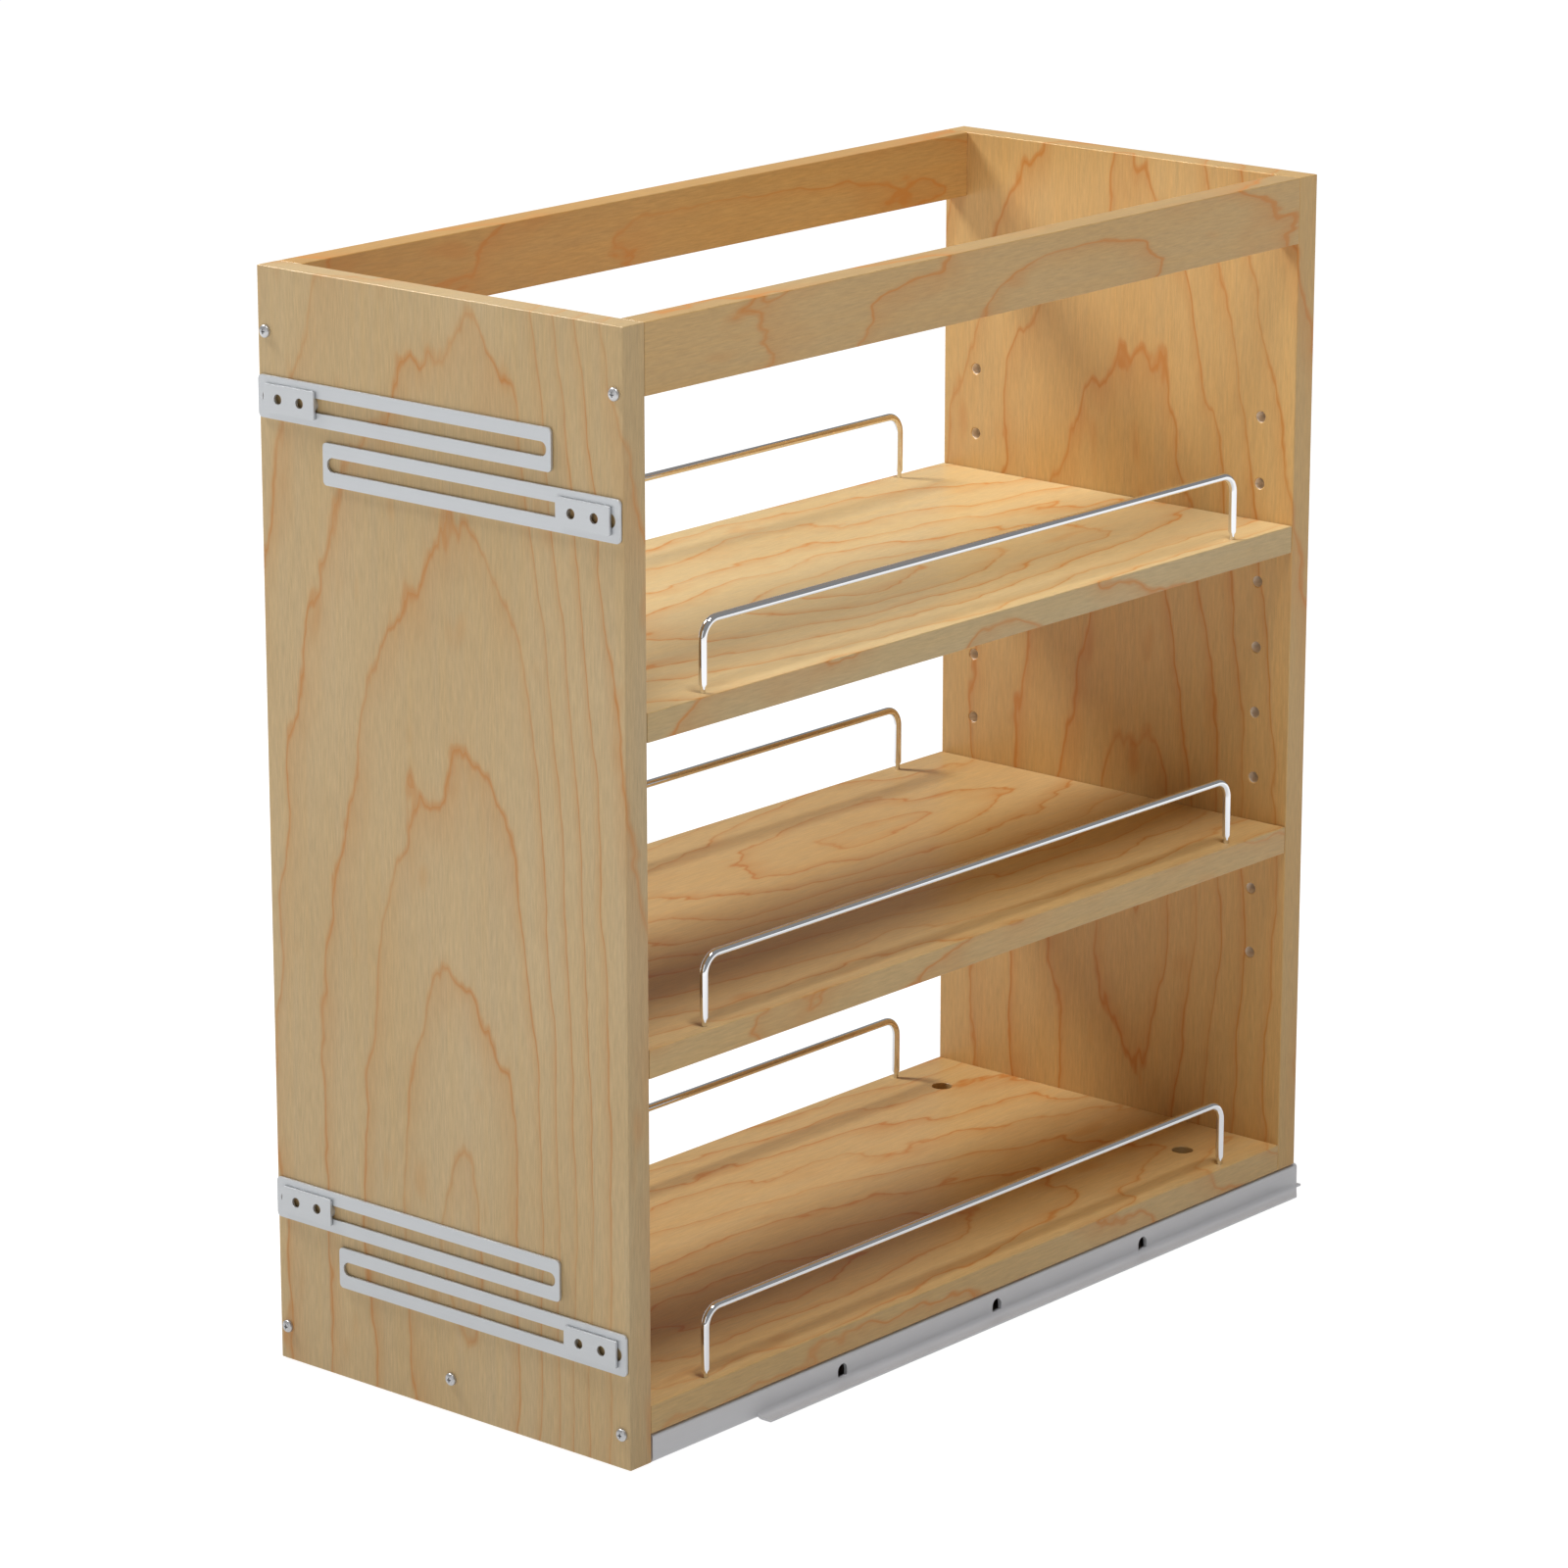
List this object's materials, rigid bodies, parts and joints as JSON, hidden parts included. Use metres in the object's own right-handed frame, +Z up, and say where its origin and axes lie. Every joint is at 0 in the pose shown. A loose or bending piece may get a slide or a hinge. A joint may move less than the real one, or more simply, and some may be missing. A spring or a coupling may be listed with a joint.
{
  "type": "pull-out pantry cart",
  "caption": "Narrow pull-out pantry cart: a plywood frame with open shelves and chrome guard rails, on ball-bearing slides in a sheet-steel tray, with sliding door brackets.",
  "frame": {"origin": "on the surface the tray rests on, in the middle of the model's outline seen from above", "axes": "+Z up, -Y the way the cart pulls out (the front panel faces -Y), +X to the right when the open side with the near guard rails faces +X"},
  "size_m": [0.2688, 0.5826, 0.5919],
  "materials": {
    "plywood": "clear satin lacquer over maple plywood",
    "chrome_wire": "bright polished chrome plate",
    "peg_steel": "nickel-plated steel",
    "screw_steel": "bright zinc plate",
    "bracket_steel": "satin zinc-plated strip",
    "tray_steel": "satin zinc-plated sheet",
    "rail_steel": "zinc-plated rolled strip",
    "cage_steel": "dull zinc-plated strip",
    "ball_steel": "polished bearing balls",
    "bumper_rubber": "matt black rubber"
  },
  "bodies": {
    "base": {"tray_floor": "tray_steel", "tray_side_left": "tray_steel", "tray_side_right": "tray_steel", "outer_rail_left": "rail_steel", "outer_rail_right": "rail_steel", "rail_rivets": "rail_steel", "rail_bumpers": "bumper_rubber"},
    "cart": {"front_panel": "plywood", "rear_panel": "plywood", "top_rail_left": "plywood", "top_rail_right": "plywood", "bottom_shelf": "plywood", "middle_shelf": "plywood", "upper_shelf": "plywood", "guard_rail_bottom_left": "chrome_wire", "guard_rail_bottom_right": "chrome_wire", "guard_rail_middle_left": "chrome_wire", "guard_rail_middle_right": "chrome_wire", "guard_rail_upper_left": "chrome_wire", "guard_rail_upper_right": "chrome_wire", "middle_shelf_pegs": "peg_steel", "upper_shelf_pegs": "peg_steel", "front_panel_screws": "screw_steel", "rear_panel_screws": "screw_steel", "bracket_plate_upper_left": "bracket_steel", "bracket_plate_upper_right": "bracket_steel", "bracket_plate_lower_left": "bracket_steel", "bracket_plate_lower_right": "bracket_steel", "bracket_screws": "screw_steel", "bracket_washers": "bracket_steel", "inner_rail_left": "rail_steel", "inner_rail_right": "rail_steel", "rail_screws": "screw_steel"},
    "middle_left": {"middle_rail_left": "rail_steel"},
    "outer_cage_left": {"outer_cage_left": "cage_steel", "outer_balls_left": "ball_steel"},
    "inner_cage_left": {"inner_cage_left": "cage_steel", "inner_balls_left": "ball_steel"},
    "middle_right": {"middle_rail_right": "rail_steel"},
    "outer_cage_right": {"outer_cage_right": "cage_steel", "outer_balls_right": "ball_steel"},
    "inner_cage_right": {"inner_cage_right": "cage_steel", "inner_balls_right": "ball_steel"},
    "arm_upper_left": {"bracket_arm_upper_left": "bracket_steel"},
    "arm_upper_right": {"bracket_arm_upper_right": "bracket_steel"},
    "arm_lower_left": {"bracket_arm_lower_left": "bracket_steel"},
    "arm_lower_right": {"bracket_arm_lower_right": "bracket_steel"}
  },
  "joints": [
    {"name": "cart_pull_out", "type": "slide", "parent": "base", "child": "cart", "axis": [0, -1, 0], "range_m": [0, 0.522]},
    {"name": "middle_left_run", "type": "slide", "parent": "base", "child": "middle_left", "axis": [0, -1, 0], "range_m": [0, 0.261]},
    {"name": "outer_cage_left_run", "type": "slide", "parent": "base", "child": "outer_cage_left", "axis": [0, -1, 0], "range_m": [0, 0.1305]},
    {"name": "inner_cage_left_run", "type": "slide", "parent": "base", "child": "inner_cage_left", "axis": [0, -1, 0], "range_m": [0, 0.3915]},
    {"name": "middle_right_run", "type": "slide", "parent": "base", "child": "middle_right", "axis": [0, -1, 0], "range_m": [0, 0.261]},
    {"name": "outer_cage_right_run", "type": "slide", "parent": "base", "child": "outer_cage_right", "axis": [0, -1, 0], "range_m": [0, 0.1305]},
    {"name": "inner_cage_right_run", "type": "slide", "parent": "base", "child": "inner_cage_right", "axis": [0, -1, 0], "range_m": [0, 0.3915]},
    {"name": "arm_upper_left_slide", "type": "slide", "parent": "cart", "child": "arm_upper_left", "axis": [-1, 0, 0], "range_m": [-0.0163, 0.1585]},
    {"name": "arm_upper_right_slide", "type": "slide", "parent": "cart", "child": "arm_upper_right", "axis": [1, 0, 0], "range_m": [-0.0163, 0.1585]},
    {"name": "arm_lower_left_slide", "type": "slide", "parent": "cart", "child": "arm_lower_left", "axis": [-1, 0, 0], "range_m": [-0.0163, 0.1585]},
    {"name": "arm_lower_right_slide", "type": "slide", "parent": "cart", "child": "arm_lower_right", "axis": [1, 0, 0], "range_m": [-0.0163, 0.1585]}
  ],
  "couplings": [
    {"joint": "middle_left_run", "follows": "cart_pull_out", "ratio": 0.5},
    {"joint": "outer_cage_left_run", "follows": "cart_pull_out", "ratio": 0.25},
    {"joint": "inner_cage_left_run", "follows": "cart_pull_out", "ratio": 0.75},
    {"joint": "middle_right_run", "follows": "cart_pull_out", "ratio": 0.5},
    {"joint": "outer_cage_right_run", "follows": "cart_pull_out", "ratio": 0.25},
    {"joint": "inner_cage_right_run", "follows": "cart_pull_out", "ratio": 0.75}
  ]
}
